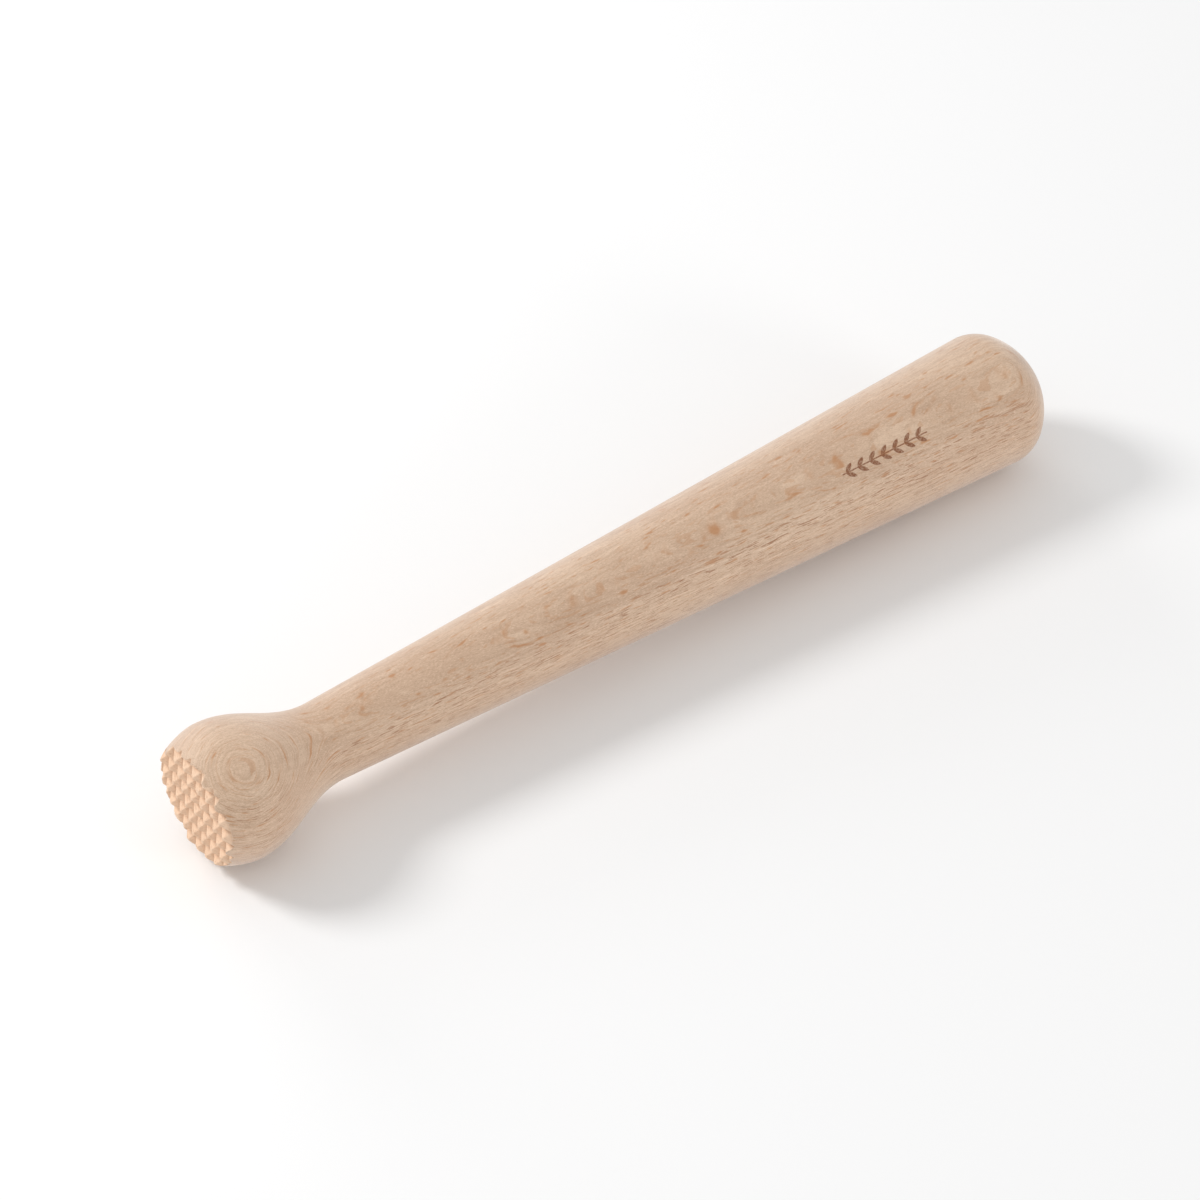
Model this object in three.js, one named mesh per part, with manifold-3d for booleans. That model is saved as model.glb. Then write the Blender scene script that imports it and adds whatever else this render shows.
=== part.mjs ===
// A bar muddler: one stick turned from a single blank of beech, with a grid of teeth sawn
// into its flat face. It is for crushing fruit, herbs and sugar in a glass.
//
// Millimetres, +Z up. The muddler lies on its side with its axis along X: the toothed face
// looks towards -X and the domed end of the handle towards +X. It rests on the two widest
// rings of its turned outline, so both have the same radius.

import * as THREE from "three";
import { mergeVertices } from "three/addons/utils/BufferGeometryUtils.js";
import Module from "manifold-3d";

// ---- driving dimensions ----

const LENGTH = 280; // tooth tips to the end of the handle
const FACE_RADIUS = 15.9; // flat face before the teeth are sawn
const WIDEST_RADIUS = 19.6; // belly of the head, and the handle near its end
const BELLY_AT = 10.7; // from the face to the widest ring of the head
const NECK_AT = 41.4; // from the face to the narrowest ring
const NECK_RADIUS = 11.2;
const CORNER_RADIUS = 10.7; // where the handle's side rounds over into its end
const DOME_RADIUS = 22.2; // the crown on the end of the handle

const TOOTH_PITCH = 4.6; // between neighbouring saw cuts
const TOOTH_DEPTH = 1.8; // of the first set of cuts
const SECOND_DEPTH = 1.9; // the second set goes a hair deeper
const TOOTH_LAND = 1; // strip of the flat face left on top of each row of teeth
const FIRST_TURN = THREE.MathUtils.degToRad(-15.3); // the first set of cuts, about the axis
const SECOND_TURN = THREE.MathUtils.degToRad(79.4); // the sets cross a little off square
const FIRST_SET_OFFSET = 1.35; // its nearest cut passes the axis by this much
const SECOND_SET_OFFSET = 1.47;

const SIDES = 64; // facets around the axis; one of them lies flat on the table

const wasm = await Module();
wasm.setup();

// ---- the turned outline, in the plane of (radius, distance from the face) ----

// The corner arc touches the widest radius on the outside and the dome on the inside. Its
// centre lies level with the widest ring of the handle.
const CORNER_RING = WIDEST_RADIUS - CORNER_RADIUS;
const DOME_AT = LENGTH - DOME_RADIUS;
const HANDLE_AT = DOME_AT + Math.sqrt((DOME_RADIUS - CORNER_RADIUS) ** 2 - CORNER_RING ** 2);

// The handle is straight from the neck to the corner, and this is its angle to the axis.
const TAPER = Math.atan((WIDEST_RADIUS - NECK_RADIUS) / (HANDLE_AT - NECK_AT));

function curvePoints(curve, steps) {
  return curve.getPoints(steps).slice(1);
}

// The rim rounds over quickly from the face, swells to the belly and runs in to the neck.
function headPoints() {
  const rim = new THREE.CubicBezierCurve(
    new THREE.Vector2(FACE_RADIUS, 0),
    new THREE.Vector2(FACE_RADIUS + 1.1, 0.4),
    new THREE.Vector2(WIDEST_RADIUS, 0.64 * BELLY_AT),
    new THREE.Vector2(WIDEST_RADIUS, BELLY_AT),
  );
  const reach = 0.4 * (NECK_AT - BELLY_AT);
  const shoulder = new THREE.CubicBezierCurve(
    new THREE.Vector2(WIDEST_RADIUS, BELLY_AT),
    new THREE.Vector2(WIDEST_RADIUS, BELLY_AT + reach),
    new THREE.Vector2(NECK_RADIUS - reach * Math.tan(TAPER), NECK_AT - reach),
    new THREE.Vector2(NECK_RADIUS, NECK_AT),
  );
  return [...curvePoints(rim, 7), ...curvePoints(shoulder, 14)];
}

function handleEndPoints() {
  const meet = Math.atan2(HANDLE_AT - DOME_AT, CORNER_RING);
  const corner = new THREE.EllipseCurve(
    CORNER_RING, HANDLE_AT, CORNER_RADIUS, CORNER_RADIUS, -TAPER, meet,
  );
  const dome = new THREE.EllipseCurve(
    0, DOME_AT, DOME_RADIUS, DOME_RADIUS, meet, Math.PI / 2,
  );
  return [...corner.getPoints(9), ...curvePoints(dome, 5)];
}

function outline() {
  const start = [new THREE.Vector2(0, 0), new THREE.Vector2(FACE_RADIUS, 0)];
  return [...start, ...headPoints(), ...handleEndPoints()];
}

// ---- solids ----

function toManifold(geometry) {
  const bare = geometry.index ? geometry.clone() : geometry;
  bare.deleteAttribute("normal");
  bare.deleteAttribute("uv");
  const merged = mergeVertices(bare, 1e-4);
  const mesh = new wasm.Mesh({
    numProp: 3,
    vertProperties: new Float32Array(merged.attributes.position.array),
    triVerts: new Uint32Array(merged.index.array),
  });
  return new wasm.Manifold(mesh);
}

function toGeometry(solid) {
  const mesh = solid.getMesh();
  const geometry = new THREE.BufferGeometry();
  geometry.setAttribute("position", new THREE.BufferAttribute(mesh.vertProperties, 3));
  geometry.setIndex(new THREE.BufferAttribute(mesh.triVerts, 1));
  geometry.computeVertexNormals();
  return geometry;
}

// The lathe spins about +Y, so a quarter turn lays it down with the face towards -X. The
// half-facet start puts the middle of a facet, not an edge, at the lowest line.
function turnedBody() {
  const halfFacet = Math.PI / SIDES;
  const geometry = new THREE.LatheGeometry(outline(), SIDES, halfFacet);
  geometry.rotateZ(-Math.PI / 2);
  return geometry;
}

// One saw cut: a long V whose open side passes the face by a little, so that the cut
// always breaks through it.
function sawCut(offset, turn, depth) {
  const half = (TOOTH_PITCH - TOOTH_LAND) / 2;
  const past = 1;
  const wide = half * (1 + past / depth);
  const vee = new THREE.Shape();
  vee.moveTo(-past, -wide);
  vee.lineTo(depth, 0);
  vee.lineTo(-past, wide);
  vee.closePath();
  const long = 4 * WIDEST_RADIUS;
  const geometry = new THREE.ExtrudeGeometry(vee, { depth: long, bevelEnabled: false });
  geometry.translate(0, offset, -long / 2);
  geometry.rotateX(turn);
  return geometry;
}

// One set of parallel cuts, out to where the next one would only graze the rounded rim.
function sawCutSet(turn, firstOffset, depth) {
  const cuts = [];
  const reach = Math.ceil(FACE_RADIUS / TOOTH_PITCH);
  for (let row = -reach; row <= reach; row += 1) {
    const offset = firstOffset + row * TOOTH_PITCH;
    if (Math.abs(offset) < FACE_RADIUS) {
      cuts.push(sawCut(offset, turn, depth));
    }
  }
  return cuts;
}

function muddlerBody() {
  const cuts = [
    ...sawCutSet(FIRST_TURN, FIRST_SET_OFFSET, TOOTH_DEPTH),
    ...sawCutSet(SECOND_TURN, SECOND_SET_OFFSET, SECOND_DEPTH),
  ];
  let solid = toManifold(turnedBody());
  for (const cut of cuts) {
    solid = solid.subtract(toManifold(cut));
  }
  return toGeometry(solid);
}

// ---- materials and the finished group ----

const beech = new THREE.MeshStandardMaterial({
  color: 0xd9b893,
  roughness: 0.62,
  metalness: 0,
});

const body = new THREE.Mesh(muddlerBody(), beech);
body.name = "muddler_body";

const group = new THREE.Group();
group.name = "muddler";
group.add(body);
group.position.set(-LENGTH / 2, 0, WIDEST_RADIUS * Math.cos(Math.PI / SIDES));

export default group;
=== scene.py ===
"""The looks of a beech bar muddler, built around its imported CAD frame.

Everything is in metres in the row frame: the muddler lies along X with its toothed face
towards -X. The turned outline repeats the CAD part's driving dimensions, in millimetres,
and is scaled by MM. The CAD node is replaced by one finer mesh of the same shape.
"""

import math
import random

import bpy
import numpy as np
from mathutils import Matrix, Vector, noise
from mathutils.geometry import delaunay_2d_cdt


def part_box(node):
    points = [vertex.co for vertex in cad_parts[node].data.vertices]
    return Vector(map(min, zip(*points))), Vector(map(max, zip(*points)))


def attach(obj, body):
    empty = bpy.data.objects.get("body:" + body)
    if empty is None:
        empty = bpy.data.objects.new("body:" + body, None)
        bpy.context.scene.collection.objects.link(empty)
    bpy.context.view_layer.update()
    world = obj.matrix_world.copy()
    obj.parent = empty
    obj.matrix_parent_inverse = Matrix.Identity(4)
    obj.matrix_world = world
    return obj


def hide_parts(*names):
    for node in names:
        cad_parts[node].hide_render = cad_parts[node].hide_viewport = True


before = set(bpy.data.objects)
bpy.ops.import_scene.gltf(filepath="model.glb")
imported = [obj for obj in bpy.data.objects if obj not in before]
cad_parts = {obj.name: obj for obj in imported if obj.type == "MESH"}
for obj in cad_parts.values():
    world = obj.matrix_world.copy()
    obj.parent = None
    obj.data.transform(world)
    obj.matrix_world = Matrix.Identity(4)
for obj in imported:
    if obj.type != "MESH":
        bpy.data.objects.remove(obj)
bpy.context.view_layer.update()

MM = 0.001

# ---- the part's driving dimensions, in millimetres ----

low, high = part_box("muddler_body")
LENGTH = (high.x - low.x) / MM
AXIS_HEIGHT = (high.z + low.z) / 2 / MM
WIDEST_RADIUS = (high.z - low.z) / 2 / MM
FACE_AT = low.x / MM

FACE_RADIUS = 15.9
BELLY_AT = 10.7
NECK_AT = 41.4
NECK_RADIUS = 11.2
CORNER_RADIUS = 10.7
DOME_RADIUS = 22.2

RIM_PULL = (0.4, 1.1)  # the rim's curve sets off this far behind and outside the face
BELLY_PULL = 0.64  # of the way from the face to the belly
NECK_PULL = 0.4  # of the way from the belly to the neck

TOOTH_PITCH = 4.6
TOOTH_DEPTHS = (1.8, 1.9)
TOOTH_LAND = 1.0
CUT_TURNS = (math.radians(-15.3), math.radians(79.4))
CUT_OFFSETS = (1.35, 1.47)

CORNER_RING = WIDEST_RADIUS - CORNER_RADIUS
DOME_AT = LENGTH - DOME_RADIUS
HANDLE_AT = DOME_AT + math.sqrt((DOME_RADIUS - CORNER_RADIUS) ** 2 - CORNER_RING**2)
TAPER = math.atan((WIDEST_RADIUS - NECK_RADIUS) / (HANDLE_AT - NECK_AT))

# ---- how finely the mesh is made ----

SIDES = 384  # around the axis
STEPS_PER_PITCH = 24  # across one tooth
RIM_STEPS = 60
SHOULDER_STEPS = 34
TAPER_STEPS = 28
CORNER_STEPS = 22
DOME_STEPS = 16
SEAM_DEPTH = 2.4  # the toothed disc meets the turned rings this far behind the face
ON_SEAM = 1e-3  # a point this close to the seam's radius lies on it

# ---- how the saw left the teeth, in millimetres unless a line says otherwise ----
# Each grain is the width and length of one mark, across and along the cuts.

CUT_WANDER = 0.05  # how far a cut sways from its own line
WANDER_LENGTH = 3.1  # along the cut, for one radian of that sway
WANDER_PHASE = 5  # radians by which the sways of two cuts may differ
CUT_SHIFT = 0.03  # how far a cut's line may lie off its even place
CUT_UNEVEN = 0.05  # share of its depth by which a cut may be off
CUT_ROOT = 0.08  # how blunt the bottom of each V is
CROSSING_SOFT = 0.05  # where the two sets of cuts meet
EDGE_SOFT = 0.06  # where the cuts meet the turned surface
SAW_MARKS = 0.06
SAW_GRAIN = (0.22, 1.2)
TORN = 0.08
TORN_GRAIN = (0.55, 0.75)
FRAYED = 0.25  # extra tearing, in patches
FRAYED_GRAIN = (6.0, 6.0)
TIP_LOSS = (-0.25, 0.35)  # mean and spread; a tooth whose loss is below 0 is whole
TIP_ROUGH = 0.15
TIP_GRAIN = (0.5, 0.5)
FRESH_EDGE = 0.15  # the cuts' colour fades in over this depth
FACE_EDGE = 0.3  # and the flat face's over this much of its rim
# These two set the painted shade in the deep grooves, not a mark of the saw.
GROOVE_SHADE_FROM = 0.9  # deeper than this the grooves get painted shade
GROOVE_SHADE_FULL = 1.8  # and here that painted shade is darkest

# ---- the camera's place round the muddler, in metres ----

VIEW_AZIMUTH = math.radians(-35.96)
VIEW_ELEVATION = math.radians(45.31)
VIEW_DISTANCE = 1.2033
VIEW_LENS = 132.9  # millimetres, as is the sensor
VIEW_SENSOR = 36.0
AIM_OFF_MIDDLE = Vector((-0.00817, 0.00214, -0.00303))

# Unit vectors square to the axis: towards the camera, and down across the picture.
TOWARDS_VIEW = Vector((0, -0.625, 0.7806)).normalized()
DOWN_PICTURE = Vector((1, 0, 0)).cross(TOWARDS_VIEW).normalized()


def smooth_max(a, b, soft):
    return (a + b + np.sqrt((a - b) ** 2 + soft**2)) / 2


def bezier(p0, p1, p2, p3, steps):
    """Points on a cubic curve, without its first one."""
    t = np.linspace(0, 1, steps + 1)[1:, None]
    p0, p1, p2, p3 = (np.array(p) for p in (p0, p1, p2, p3))
    s = 1 - t
    return s**3 * p0 + 3 * s**2 * t * p1 + 3 * s * t**2 * p2 + t**3 * p3


# ---- the turned outline: (distance from the face, radius) ----


def rim_curve():
    return bezier(
        (0, FACE_RADIUS),
        (RIM_PULL[0], FACE_RADIUS + RIM_PULL[1]),
        (BELLY_PULL * BELLY_AT, WIDEST_RADIUS),
        (BELLY_AT, WIDEST_RADIUS),
        RIM_STEPS,
    )


def shoulder_curve():
    reach = NECK_PULL * (NECK_AT - BELLY_AT)
    return bezier(
        (BELLY_AT, WIDEST_RADIUS),
        (BELLY_AT + reach, WIDEST_RADIUS),
        (NECK_AT - reach, NECK_RADIUS - reach * math.tan(TAPER)),
        (NECK_AT, NECK_RADIUS),
        SHOULDER_STEPS,
    )


def arc(centre, radius, start, end, steps):
    """Points on an arc about (distance, ring) at centre, without its first one."""
    turn = np.linspace(start, end, steps + 1)[1:]
    return np.column_stack(
        (centre[0] + radius * np.sin(turn), centre[1] + radius * np.cos(turn))
    )


def outline():
    """The rings of the turned body behind the seam, up to the pole of the dome."""
    rim = rim_curve()
    rim = rim[rim[:, 0] > SEAM_DEPTH][::2]
    meet = math.atan2(HANDLE_AT - DOME_AT, CORNER_RING)
    corner = arc((HANDLE_AT, CORNER_RING), CORNER_RADIUS, -TAPER, meet, CORNER_STEPS)
    dome = arc((DOME_AT, 0), DOME_RADIUS, meet, math.pi / 2, DOME_STEPS)
    share = np.linspace(0, 1, TAPER_STEPS + 1)[1:, None]
    shoulder = shoulder_curve()
    taper = shoulder[-1] * (1 - share) + corner[0] * share
    return np.vstack((rim, shoulder, taper, corner[1:], dome))


def face_depth(radius):
    """How far the uncut turned surface lies behind the face plane, at each radius."""
    rim = np.vstack(((0, FACE_RADIUS), rim_curve()))
    return np.interp(radius, rim[:, 1], rim[:, 0], left=0)


# ---- the teeth ----


def across_cuts(y, z, number):
    """Distance across and along one set of saw cuts."""
    cos, sin = math.cos(CUT_TURNS[number]), math.sin(CUT_TURNS[number])
    return y * cos + z * sin, z * cos - y * sin


def grain_noise(across, along, grain, seed):
    """Noise drawn out along one way of the plane, as a saw leaves it."""
    points = zip(across / grain[0], along / grain[1])
    return np.array([noise.noise(Vector((a, b, seed))) for a, b in points])


def cut_depth(across, along, offset, depth, seed):
    """Depth of one set of V cuts. Each cut wanders and differs a little from the next."""
    number = np.round((across - offset) / TOOTH_PITCH)
    dice = random.Random(seed)
    cuts = 16  # more than a set has
    uneven = np.array([dice.uniform(-1, 1) for _ in range(cuts)])
    own = uneven[number.astype(int) % cuts]
    sway = CUT_WANDER * np.sin(along / WANDER_LENGTH + WANDER_PHASE * own)
    wander = sway + CUT_SHIFT * own
    away = np.abs(across - offset - number * TOOTH_PITCH + wander)
    half = (TOOTH_PITCH - TOOTH_LAND) / 2
    rounded = np.sqrt(away**2 + CUT_ROOT**2) - CUT_ROOT
    return depth * (1 + CUT_UNEVEN * own) - rounded * depth / half


def broken_tips(y, z):
    """A few teeth have lost their tips to the saw: how far down each one is broken."""
    (a, _), (b, _) = across_cuts(y, z, 0), across_cuts(y, z, 1)
    column = np.floor((a - CUT_OFFSETS[0]) / TOOTH_PITCH).astype(int)
    row = np.floor((b - CUT_OFFSETS[1]) / TOOTH_PITCH).astype(int)
    dice = random.Random(5)
    teeth = 12  # more than there are across the face
    losses = [[max(0, dice.gauss(*TIP_LOSS)) for _ in range(teeth)] for _ in range(teeth)]
    down = np.array(losses)[column % teeth, row % teeth]
    ragged = grain_noise(a, b, TIP_GRAIN, 31.0)
    return np.where(down > 0, down + TIP_ROUGH * ragged, -1)


def toothed_surface(y, z):
    """Distance behind the face plane, and how much of it is sawn wood, from 0 to 1."""
    radius = np.hypot(y, z)
    turned = face_depth(radius)
    sets = []
    for i in range(2):
        across, along = across_cuts(y, z, i)
        depth = cut_depth(across, along, CUT_OFFSETS[i], TOOTH_DEPTHS[i], 11 + i)
        sawn = grain_noise(across, along, SAW_GRAIN, 3.7 * i)
        torn = grain_noise(across, along, TORN_GRAIN, 9.1 + i)
        frayed = np.clip(grain_noise(across, along, FRAYED_GRAIN, 20.0), 0, 1)
        sets.append(depth + SAW_MARKS * sawn + (TORN + FRAYED * frayed) * torn)
    cuts = smooth_max(sets[0], sets[1], CROSSING_SOFT)
    cuts = np.maximum(cuts, broken_tips(y, z))
    cut = np.clip((cuts - turned) / FRESH_EDGE + 0.5, 0, 1)
    flat_face = np.clip((FACE_RADIUS - radius) / FACE_EDGE, 0, 1)
    return smooth_max(turned, cuts, EDGE_SOFT), np.maximum(cut, flat_face)


def toothed_disc(ring):
    """A flat disc of points in step with the saw cuts, joined inside the given ring."""
    step = TOOTH_PITCH / STEPS_PER_PITCH
    seam_radius = math.hypot(*ring[0])
    reach = int(seam_radius / step) + STEPS_PER_PITCH
    count = np.arange(-reach, reach + 1) * step
    first, second = np.meshgrid(count + CUT_OFFSETS[0], count + CUT_OFFSETS[1])
    (a, b), (c, d) = ((math.cos(t), math.sin(t)) for t in CUT_TURNS)
    y = ((first * d - second * b) / (a * d - b * c)).ravel()
    z = ((second * a - first * c) / (a * d - b * c)).ravel()
    clear = 0.6 * step  # keeps slivers away from the seam
    inside = np.hypot(y, z) < seam_radius - clear
    points = [Vector(p) for p in ring] + [Vector(p) for p in zip(y[inside], z[inside])]
    edges = [(i, (i + 1) % len(ring)) for i in range(len(ring))]
    verts, _, faces, *_ = delaunay_2d_cdt(points, edges, [], 0, 1e-6)
    return np.array([tuple(v) for v in verts]), faces


# ---- the mesh ----


def normal_x(verts, face):
    a, b, c = (Vector(verts[i]) for i in face[:3])
    return (b - a).cross(c - a).x


def seam_points(flat, on_ring):
    """The disc's points on the seam, in the order of the points of a turned ring."""
    places = {}
    for i in np.flatnonzero(on_ring):
        turn = math.atan2(flat[i, 1], flat[i, 0])
        places[round(turn / (2 * math.pi) * SIDES) % SIDES] = i
    return [places[k] for k in range(SIDES)]


def quads(previous, current):
    """Faces between two rings, looking outwards."""
    made = []
    for k in range(SIDES):
        n = (k + 1) % SIDES
        made.append((previous[k], previous[n], current[n], current[k]))
    return made


def add_turned_rings(verts, faces, seam, rings, circle):
    """Adds the turned body to verts and faces, from the seam to the pole of the dome."""
    previous = seam
    for x, radius in rings[1:-1]:
        first = len(verts)
        verts += [(FACE_AT + x, radius * c, radius * s) for c, s in circle]
        current = list(range(first, first + SIDES))
        faces += quads(previous, current)
        previous = current
    pole = len(verts)
    verts.append((FACE_AT + LENGTH, 0, 0))
    faces += [(previous[k], previous[(k + 1) % SIDES], pole) for k in range(SIDES)]


def finished_mesh(verts, faces, depth, fresh):
    """The mesh in metres, knowing where it is sawn and how dark the painted shade in its
    grooves is.
    """
    mesh = bpy.data.meshes.new("muddler")
    places = [(x * MM, y * MM, (z + AXIS_HEIGHT) * MM) for x, y, z in verts]
    mesh.from_pydata(places, [], faces)
    mesh.shade_smooth()
    # Painted shade: the deeper in a groove of sawn wood, the darker.
    deep = np.clip((depth - GROOVE_SHADE_FROM) / (GROOVE_SHADE_FULL - GROOVE_SHADE_FROM), 0, 1)
    painted_groove_shade = fresh * deep**1.5
    for name, values in (("fresh_cut", fresh), ("groove_shade", painted_groove_shade)):
        padded = np.zeros(len(verts))
        padded[: len(values)] = values
        mesh.attributes.new(name, "FLOAT", "POINT").data.foreach_set("value", padded)
    # A face is of the second material, sawn wood, when all its corners are sawn.
    sawn = [int(max(f) < len(fresh) and min(fresh[list(f)]) > 0.5) for f in faces]
    mesh.polygons.foreach_set("material_index", sawn)
    mesh.validate()
    return mesh


def muddler_mesh():
    """One closed mesh: the toothed disc, then the turned rings, then the pole."""
    rings = outline()
    turn = np.arange(SIDES) / SIDES * 2 * math.pi
    circle = np.column_stack((np.cos(turn), np.sin(turn)))
    seam_x, seam_radius = rings[0]

    flat, faces = toothed_disc(circle * seam_radius)
    depth, fresh = toothed_surface(flat[:, 0], flat[:, 1])
    on_ring = np.hypot(flat[:, 0], flat[:, 1]) > seam_radius - ON_SEAM
    depth[on_ring] = seam_x
    verts = [(FACE_AT + d, p[0], p[1]) for d, p in zip(depth, flat)]
    faces = [tuple(f) for f in faces]
    if normal_x(verts, faces[0]) > 0:
        faces = [f[::-1] for f in faces]

    add_turned_rings(verts, faces, seam_points(flat, on_ring), rings, circle)
    return finished_mesh(verts, faces, depth, fresh)


# ---- node helpers ----


class Graph:
    """Builds a material's nodes from sockets and plain numbers."""

    def __init__(self, name):
        self.material = bpy.data.materials.new(name)
        self.material.use_nodes = True
        self.tree = self.material.node_tree
        self.shader = self.tree.nodes["Principled BSDF"]

    def feed(self, socket, value):
        if isinstance(value, bpy.types.NodeSocket):
            self.tree.links.new(value, socket)
        else:
            socket.default_value = value

    def node(self, kind, inputs, **settings):
        made = self.tree.nodes.new("ShaderNode" + kind)
        for key, value in settings.items():
            setattr(made, key, value)
        for key, value in inputs.items():
            self.feed(made.inputs[key], value)
        return made

    def math(self, operation, a, b=0.0, c=0.0):
        inputs = {0: a, 1: b, 2: c}
        return self.node("Math", inputs, operation=operation).outputs[0]

    def times(self, a, b):
        return self.math("MULTIPLY", a, b)

    def dot(self, vector, direction):
        inputs = {0: vector, 1: tuple(direction)}
        return self.node("VectorMath", inputs, operation="DOT_PRODUCT").outputs["Value"]

    def vector(self, x, y, z):
        return self.node("CombineXYZ", {0: x, 1: y, 2: z}).outputs[0]

    def step(self, value, start, end, low=0.0, high=1.0):
        """A smooth step from low to high as value goes from start to end."""
        inputs = {"Value": value, "From Min": start, "From Max": end}
        inputs.update({"To Min": low, "To Max": high})
        made = self.node("MapRange", inputs, interpolation_type="SMOOTHSTEP")
        return made.outputs["Result"]

    def noise(self, vector, scale, detail=2.0, rough=0.5):
        inputs = {"Vector": vector, "Scale": scale, "Detail": detail, "Roughness": rough}
        return self.node("TexNoise", inputs).outputs["Fac"]

    def attribute(self, name):
        return self.node("Attribute", {}, attribute_name=name).outputs["Fac"]

    def mix(self, share, a, b):
        made = self.node("Mix", {"Factor": share}, data_type="RGBA")
        first, second = (s for s in made.inputs if s.type == "RGBA")
        self.feed(first, a)
        self.feed(second, b)
        return next(s for s in made.outputs if s.type == "RGBA")


# ---- beech: its directions ----

FIBRE_TILT = math.radians(6.5)  # the fibres run a little across the turning axis
FLECK_TURN = math.radians(-20)  # the rays' turn about the axis, from the view
PITH_DISTANCE = 110.0  # from the muddler's axis to the heart of the tree, in millimetres

SIDEWAYS = Matrix.Rotation(FLECK_TURN, 3, "X")
TANGENT = SIDEWAYS @ TOWARDS_VIEW
FIBRE = Vector((1, 0, 0)) + math.tan(FIBRE_TILT) * DOWN_PICTURE
FIBRE = (FIBRE - FIBRE.dot(TANGENT) * TANGENT).normalized()
RADIAL = TANGENT.cross(FIBRE).normalized()

# ---- beech: the size of each figure's grains, in millimetres ----
# Each triple is out from the pith, round it, and along the fibres.

PORES = (0.20, 0.20, 0.75)
LINES = (7.0, 0.42, 16.0)
STREAKS = (2.2, 1.4, 40.0)
CLOUDS = (14.0, 14.0, 50.0)
BROAD_RAYS = (12.0, 0.42, 4.2)
FINE_RAYS = (9.0, 0.155, 4.0)
END_GRAIN = (1.1, 0.35, 1.6)
RING_WANDER = (2.9, 10.0, 36.0)
SHEET_WANDER = (9.0, 4.0, 11.0)
SHEET_PATCHES = (12.0, 1.6, 9.0)

RING_SPACING = 1.9
SHEET_SPACING = 0.42

# ---- beech: how wavy its figure is ----

RING_SWAY = 2.4  # millimetres
RING_SWAY_SCALE = 0.11  # per millimetre
RAY_SWAY = 0.9
RAY_SWAY_SCALE = 0.17
SWAY_ALONG = 0.25  # both are this much slower along the fibres
YEAR_WANDER = 1.3  # of a year's growth
SHEET_TURN = 14.0  # radians of the sheets' wave

# ---- beech: where each figure shows ----
# Each is the value where a change starts and the value where it ends. The strengths at
# those two follow where they aren't 0 and 1.

CLOUDS_SHOW = (0.35, 0.65)
STREAKS_SHOW = (0.40, 0.75, 0.0, 0.26)
DARK_LINES = (0.50, 0.75, 0.0, 0.56)
PALE_LINES = (0.50, 0.28, 0.0, 0.44)
DARK_PORES = (0.50, 0.78, 0.0, 0.76)
PALE_PORES = (0.50, 0.25, 0.0, 0.70)
RING_RISES = (0.35, 0.93)
RING_FALLS = (0.95, 1.0, 1.0, 0.0)
SHEET_WAVE = (-0.2, 1.0)
SHEETS_SHOW = (0.40, 0.62)
RAY_BAND = (0.72, 0.95)
SPOTS_SHOW = (0.645, 0.76)
HALOS_SHOW = (0.54, 0.68)
DASHES_SHOW = (0.60, 0.66)
LOWER_SIDE = (0.75, -0.35, 0.30, 0.85)
FIBRE_ENDS = (0.12, 0.55, 1.0, 0.2)
END_SPECKS = (0.50, 0.72, 0.0, 0.42)

RING_STRENGTH = 0.14
SHEET_STRENGTH = 0.30
HALO_STRENGTH = 0.16
SPOT_STRENGTH = 0.72
FRESH_STRENGTH = 0.70
# how dark the painted shade in the deep grooves is
GROOVE_SHADE_STRENGTH = 0.5
BAND_CALMS_LINES = -0.35
BAND_CALMS_DASHES = -0.65

# ---- beech: its surface ----

ROUGHNESS = 0.46
PORES_ROUGHER = 0.16
SPOTS_ROUGHER = -0.08
SAWN_ROUGHER = 0.18
SHEEN_ROUGHNESS = 0.5

RELIEF = 0.06 * MM  # the heights below are shares of this
RELIEF_STRENGTH = 0.4
PORE_HEIGHT = -1.0
LINE_HEIGHT = -0.8
SPOT_HEIGHT = 0.35
DASH_HEIGHT = -0.4
BURN_HEIGHT = -1.5

# ---- beech: its colours ----

CREAM = (0.650, 0.460, 0.320, 1)
PINK = (0.583, 0.395, 0.268, 1)
TAN = (0.44, 0.28, 0.175, 1)
LATE_WOOD = (0.43, 0.265, 0.165, 1)
PORE = (0.31, 0.19, 0.12, 1)
PALE = (0.84, 0.64, 0.47, 1)
RAY = (0.47, 0.205, 0.070, 1)
DASH = (0.31, 0.130, 0.050, 1)
FRESH = (0.95, 0.69, 0.505, 1)
# dark end-grain specks, and the painted shade in the deep grooves
SPECK_AND_GROOVE_SHADE = (0.50, 0.30, 0.18, 1)
BURNT = (0.19, 0.046, 0.0, 1)

# ---- the burned mark: a sprig of leaf pairs along the handle, in millimetres ----

MARK_AT = 79.0
MARK_RING = 18.0  # the handle's radius there
MARK_SHIFT = 0.3
LEAF_PITCH = 4.0
LEAF_PAIRS = 3  # on each side of the middle one
LEAF_ANGLE = math.radians(36)
LEAF_LENGTH = 3.6
LEAF_WIDTH = 1.35
LEAF_BACK = 0.35  # of the pitch: how far behind its pair's place a leaf starts
LEAF_EDGE = (-0.12, 0.05)  # the leaf fades out between these, about its outline
STEM_EDGE = (0.10, 0.28)  # half the stem's width, where its fade starts and ends
STEM_PAST = 0.6  # of the pitch, past the last pair
STEM_TIP = 0.3  # the fade at the stem's two ends
MARK_ENDS = (0.7, 0.9)  # the mark fades out here, in radians round the handle
SCORCH_SCALE = 1.6  # patches per millimetre, about
SCORCHED = (0.30, 0.62, 0.52, 0.92)  # noise from and to, strength from and to
FADE_OUT = (1.0, 0.0)


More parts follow.
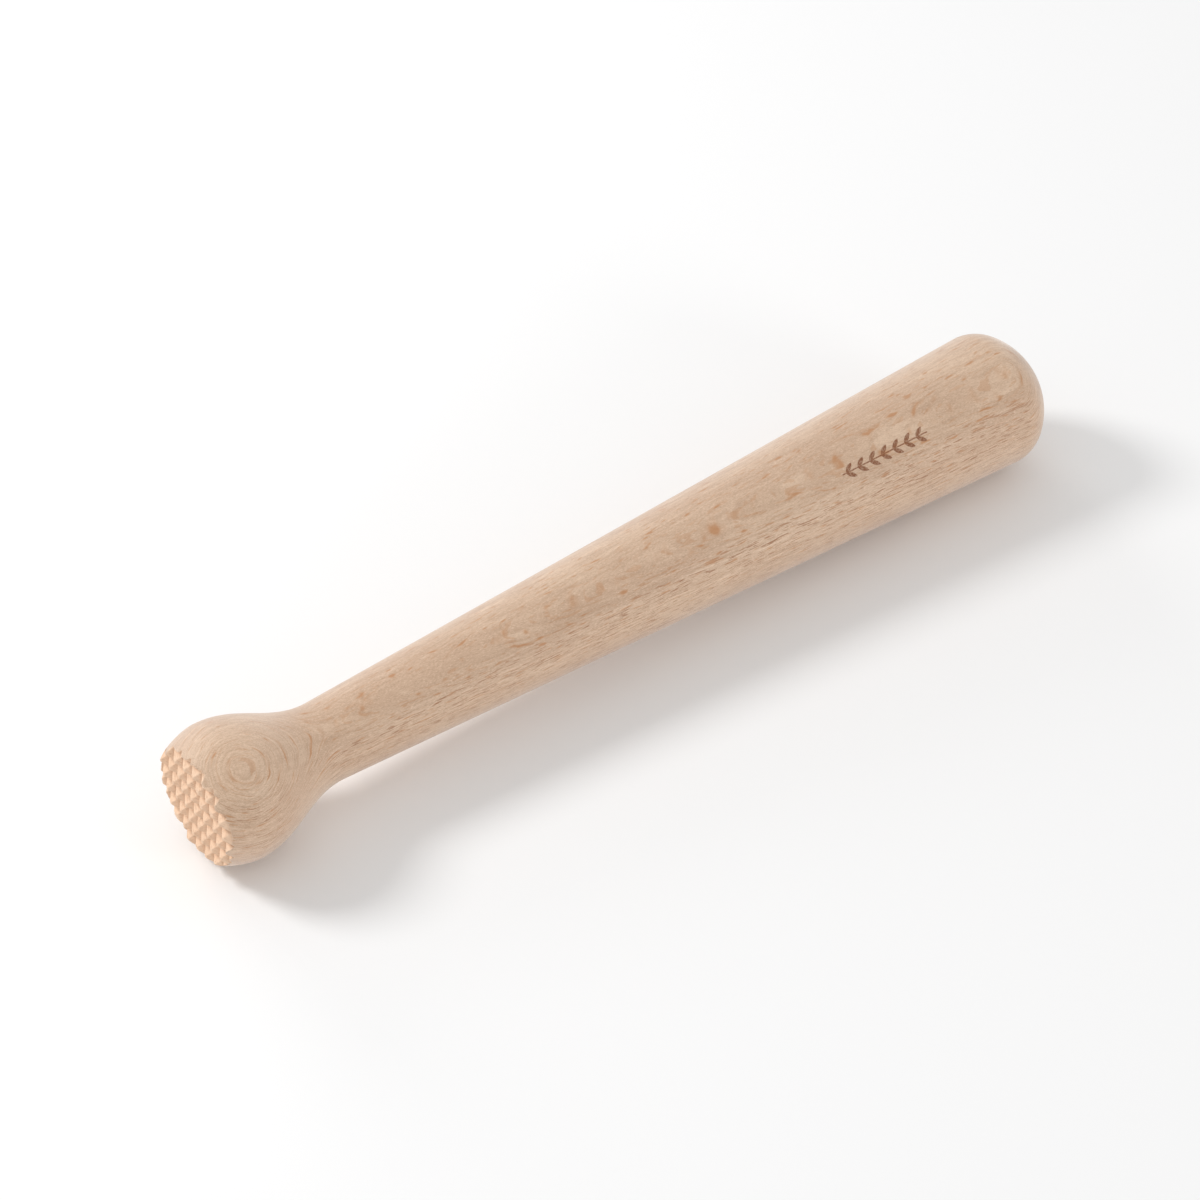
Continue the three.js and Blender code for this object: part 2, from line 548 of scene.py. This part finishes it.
def wood_directions(g):
    """The place from the axis in metres, then millimetres out, round and along the wood."""
    place = g.node("TexCoord", {}).outputs["Object"]
    from_axis = {0: place, 1: (0, 0, AXIS_HEIGHT * MM)}
    place = g.node("VectorMath", from_axis, operation="SUBTRACT").outputs["Vector"]
    per_mm = 1 / MM
    along = g.dot(place, FIBRE * per_mm)
    out = g.math("ADD", g.dot(place, RADIAL * per_mm), PITH_DISTANCE)
    side = g.dot(place, TANGENT * per_mm)

    # Slow noise makes the rings and the rays a little wavy.
    lazy = g.vector(g.times(along, SWAY_ALONG), out, side)
    ring_sway = g.math("SUBTRACT", g.noise(lazy, RING_SWAY_SCALE, 1.0), 0.5)
    ray_sway = g.math("SUBTRACT", g.noise(lazy, RAY_SWAY_SCALE, 2.0), 0.5)
    from_pith = g.math("SQRT", g.math("ADD", g.times(out, out), g.times(side, side)))
    from_pith = g.math("MULTIPLY_ADD", ring_sway, RING_SWAY, from_pith)
    around = g.times(g.math("ARCTAN2", side, out), PITH_DISTANCE)
    around = g.math("MULTIPLY_ADD", ray_sway, RAY_SWAY, around)
    return place, from_pith, around, along


def wood_noise(g, directions, grain, detail=1.0, rough=0.5, seed=0.0):
    """Noise whose grains have the given size in the wood's own directions."""
    _, out, around, along = directions
    vector = g.vector(
        g.math("MULTIPLY_ADD", out, 1 / grain[0], seed),
        g.math("DIVIDE", around, grain[1]),
        g.math("DIVIDE", along, grain[2]),
    )
    return g.noise(vector, 1.0, detail, rough)


def growth_rings(g, directions):
    """The late wood's thin dark line at the end of each year's growth, from 0 to 1."""
    wander = wood_noise(g, directions, RING_WANDER)
    year = g.math("DIVIDE", directions[1], RING_SPACING)
    part = g.math("FRACT", g.math("MULTIPLY_ADD", wander, YEAR_WANDER, year))
    return g.times(g.step(part, *RING_RISES), g.step(part, *RING_FALLS))


def sheet_lines(g, directions):
    """Faint parallel sheets: nested arcs where the surface lies along them, else lines."""
    wander = wood_noise(g, directions, SHEET_WANDER, 2.0, 0.5, 51.0)
    wander = g.times(wander, SHEET_TURN)
    phase = g.math("MULTIPLY_ADD", directions[2], 2 * math.pi / SHEET_SPACING, wander)
    wave = g.step(g.math("SINE", phase), *SHEET_WAVE)
    patches = wood_noise(g, directions, SHEET_PATCHES, 2.0, 0.5, 67.0)
    return g.times(wave, g.step(patches, *SHEETS_SHOW))


def burned_sprig(g, place):
    """A small leafy sprig burned into the handle, from 0 to 1 where it is scorched."""
    x, _, _ = g.node("SeparateXYZ", {0: place}).outputs
    s = g.math("SUBTRACT", g.math("DIVIDE", x, MM), MARK_AT)
    turn = g.math("ARCTAN2", g.dot(place, DOWN_PICTURE), g.dot(place, TOWARDS_VIEW))
    t = g.math("MULTIPLY_ADD", turn, MARK_RING, -MARK_SHIFT)

    # Both leaves of a pair are one leaf, mirrored in the stem.
    side = g.math("ABSOLUTE", t)
    pair = g.math("ROUND", g.math("DIVIDE", s, LEAF_PITCH))
    pair = g.math("MINIMUM", g.math("MAXIMUM", pair, -LEAF_PAIRS), LEAF_PAIRS)
    local = g.math("ADD", s, LEAF_BACK * LEAF_PITCH)
    local = g.math("MULTIPLY_ADD", pair, -LEAF_PITCH, local)

    # A leaf is where two circles of equal size overlap.
    cos, sin = math.cos(LEAF_ANGLE), math.sin(LEAF_ANGLE)
    p = g.math("MULTIPLY_ADD", side, sin, -LEAF_LENGTH / 2)
    p = g.math("MULTIPLY_ADD", local, cos, p)
    q = g.math("MULTIPLY_ADD", local, -sin, g.times(side, cos))
    bow = (LEAF_LENGTH**2 / 4 + LEAF_WIDTH**2 / 4) / LEAF_WIDTH
    q = g.math("ADD", g.math("ABSOLUTE", q), bow - LEAF_WIDTH / 2)
    away = g.math("SQRT", g.math("MULTIPLY_ADD", p, p, g.times(q, q)))
    leaf = g.step(away, bow + LEAF_EDGE[0], bow + LEAF_EDGE[1], *FADE_OUT)

    half = (LEAF_PAIRS + STEM_PAST) * LEAF_PITCH
    stem_end = g.step(g.math("ABSOLUTE", s), half, half + STEM_TIP, *FADE_OUT)
    stem = g.times(g.step(side, *STEM_EDGE, *FADE_OUT), stem_end)
    shape = g.math("MAXIMUM", leaf, stem)
    near = g.step(g.math("ABSOLUTE", turn), *MARK_ENDS, *FADE_OUT)
    patchy = g.noise(g.vector(s, t, 0.0), SCORCH_SCALE, 2.0, 0.6)
    return g.times(g.times(shape, near), g.step(patchy, *SCORCHED))


def plain_wood(g, directions, pores, lines, band):
    """The wood's colour without its rays."""
    clouds = wood_noise(g, directions, CLOUDS, 2.0, 0.5, 3.0)
    streaks = wood_noise(g, directions, STREAKS, 2.0, 0.6, 11.0)
    tone = g.mix(g.step(clouds, *CLOUDS_SHOW), CREAM, PINK)
    tone = g.mix(g.step(streaks, *STREAKS_SHOW), tone, TAN)
    tone = g.mix(g.times(growth_rings(g, directions), RING_STRENGTH), tone, LATE_WOOD)
    calm = g.math("MULTIPLY_ADD", band, BAND_CALMS_LINES, 1.0)
    tone = g.mix(g.times(g.step(lines, *DARK_LINES), calm), tone, TAN)
    tone = g.mix(g.times(g.step(lines, *PALE_LINES), calm), tone, PALE)
    tone = g.mix(g.times(sheet_lines(g, directions), SHEET_STRENGTH), tone, TAN)
    tone = g.mix(g.step(pores, *DARK_PORES), tone, PORE)
    return g.mix(g.step(pores, *PALE_PORES), tone, PALE)


def with_rays(g, directions, normal, band, tone):
    """Beech is told by its rays: thin sheets that stand out from the pith. They are spots
    where the surface lies along them, and fine dashes where it cuts across them."""
    broad = wood_noise(g, directions, BROAD_RAYS, 1.0, 0.4, 21.0)
    fine = wood_noise(g, directions, FINE_RAYS, 1.0, 0.4, 37.0)
    spots = g.step(broad, *SPOTS_SHOW)
    halos = g.step(broad, *HALOS_SHOW)
    dashes = g.step(fine, *DASHES_SHOW)
    tone = g.mix(g.times(halos, HALO_STRENGTH), tone, RAY)
    tone = g.mix(g.times(spots, SPOT_STRENGTH), tone, RAY)

    # The dashes are stronger on the lower side, and faint in the band of spots and where
    # the fibres run out of the surface.
    lower = g.step(g.dot(normal, RADIAL), *LOWER_SIDE)
    outside_band = g.math("MULTIPLY_ADD", band, BAND_CALMS_DASHES, 1.0)
    side_grain = g.step(g.math("ABSOLUTE", g.dot(normal, FIBRE)), *FIBRE_ENDS)
    shown = g.times(g.times(lower, outside_band), side_grain)
    tone = g.mix(g.times(dashes, shown), tone, g.mix(band, DASH, RAY))
    return tone, spots, dashes


def with_sawn_face(g, directions, tone):
    """Freshly sawn wood is paler, with dark specks of end grain; painted shade darkens its
    deep grooves.
    """
    fresh = g.attribute("fresh_cut")
    tone = g.mix(g.times(fresh, FRESH_STRENGTH), tone, FRESH)
    end_grain = wood_noise(g, directions, END_GRAIN, 2.0, 0.6, 83.0)
    tone = g.mix(g.times(fresh, g.step(end_grain, *END_SPECKS)), tone, SPECK_AND_GROOVE_SHADE)
    # Painted shade darkens the deep grooves.
    tone = g.mix(g.times(g.attribute("groove_shade"), GROOVE_SHADE_STRENGTH), tone, SPECK_AND_GROOVE_SHADE)
    return tone, fresh


def beech_material(name, sheen, specular):
    """The wood, with the sheen and gloss of its turned or of its sawn surface."""
    g = Graph(name)
    directions = wood_directions(g)
    normal = g.node("NewGeometry", {}).outputs["Normal"]
    facing = g.math("ABSOLUTE", g.dot(normal, TANGENT))
    band = g.step(facing, *RAY_BAND)  # where the surface lies along the rays
    pores = wood_noise(g, directions, PORES, 3.0, 0.8)
    lines = wood_noise(g, directions, LINES, 3.0, 0.68, 5.0)

    tone = plain_wood(g, directions, pores, lines, band)
    tone, spots, dashes = with_rays(g, directions, normal, band, tone)
    tone, fresh = with_sawn_face(g, directions, tone)
    burn = burned_sprig(g, directions[0])
    tone = g.mix(burn, tone, BURNT)
    g.feed(g.shader.inputs["Base Color"], tone)

    rough = g.math("MULTIPLY_ADD", pores, PORES_ROUGHER, ROUGHNESS)
    rough = g.math("MULTIPLY_ADD", spots, SPOTS_ROUGHER, rough)
    rough = g.math("MULTIPLY_ADD", fresh, SAWN_ROUGHER, rough)
    g.feed(g.shader.inputs["Roughness"], rough)
    g.shader.inputs["Specular IOR Level"].default_value = specular
    g.shader.inputs["Sheen Weight"].default_value = sheen
    g.shader.inputs["Sheen Roughness"].default_value = SHEEN_ROUGHNESS

    height = g.math("MULTIPLY_ADD", lines, LINE_HEIGHT, g.times(pores, PORE_HEIGHT))
    height = g.math("MULTIPLY_ADD", spots, SPOT_HEIGHT, height)
    height = g.math("MULTIPLY_ADD", dashes, DASH_HEIGHT, height)
    height = g.math("MULTIPLY_ADD", burn, BURN_HEIGHT, height)
    relief = {"Height": height, "Strength": RELIEF_STRENGTH, "Distance": RELIEF}
    bump = g.node("Bump", relief)
    g.feed(g.shader.inputs["Normal"], bump.outputs["Normal"])
    return g.material


# ---- the stage ----

FLOOR_HALF = 4.0
FLOOR_COLOUR = (0.93, 0.93, 0.93, 1)
FLOOR_ROUGHNESS = 0.8
WORLD_STRENGTH = 0.66


def floor_material():
    g = Graph("pale_floor")
    g.shader.inputs["Base Color"].default_value = FLOOR_COLOUR
    g.shader.inputs["Roughness"].default_value = FLOOR_ROUGHNESS
    return g.material


def add_floor():
    mesh = bpy.data.meshes.new("floor")
    h = FLOOR_HALF
    corners = [(-h, -h, 0), (h, -h, 0), (h, h, 0), (-h, h, 0)]
    mesh.from_pydata(corners, [], [(0, 1, 2, 3)])
    floor = bpy.data.objects.new("floor", mesh)
    bpy.context.collection.objects.link(floor)
    mesh.materials.append(floor_material())


def add_area_light(name, place, size, power):
    """A round white lamp that looks at the origin."""
    lamp = bpy.data.lights.new(name, "AREA")
    lamp.shape = "DISK"
    lamp.size = size
    lamp.energy = power
    light = bpy.data.objects.new(name, lamp)
    light.location = place
    light.rotation_euler = (-Vector(place)).to_track_quat("-Z", "Y").to_euler()
    bpy.context.collection.objects.link(light)


def add_lights():
    world = bpy.data.worlds.new("studio")
    bpy.context.scene.world = world
    world.use_nodes = True
    sky = world.node_tree.nodes["Background"]
    sky.inputs["Color"].default_value = (1, 1, 1, 1)
    sky.inputs["Strength"].default_value = WORLD_STRENGTH
    add_area_light("key", place=(-0.65, 0.75, 0.85), size=0.4, power=8.2)
    add_area_light("rim", place=(0.14, 1.95, 0.60), size=0.9, power=7.6)
    add_area_light("fill", place=(0.55, -1.25, 0.30), size=0.55, power=4.8)


def add_camera():
    data = bpy.data.cameras.new("camera")
    data.lens = VIEW_LENS
    data.sensor_width = VIEW_SENSOR
    camera = bpy.data.objects.new("camera", data)
    a, e = VIEW_AZIMUTH, VIEW_ELEVATION
    back = Vector((math.sin(a) * math.cos(e), -math.cos(a) * math.cos(e), math.sin(e)))
    middle = Vector((0, 0, AXIS_HEIGHT * MM))
    camera.location = middle + AIM_OFF_MIDDLE + back * VIEW_DISTANCE
    camera.rotation_euler = (math.pi / 2 - e, 0, a)
    bpy.context.collection.objects.link(camera)
    bpy.context.scene.camera = camera
    bpy.context.scene.view_settings.view_transform = "Standard"


def add_muddler():
    muddler = bpy.data.objects.new("muddler", muddler_mesh())
    bpy.context.collection.objects.link(muddler)
    muddler.data.materials.append(beech_material("beech", sheen=0.5, specular=0.4))
    muddler.data.materials.append(beech_material("sawn_beech", sheen=0.0, specular=0.06))
    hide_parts("muddler_body")
    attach(muddler, "root")


add_camera()
add_lights()
add_floor()
add_muddler()
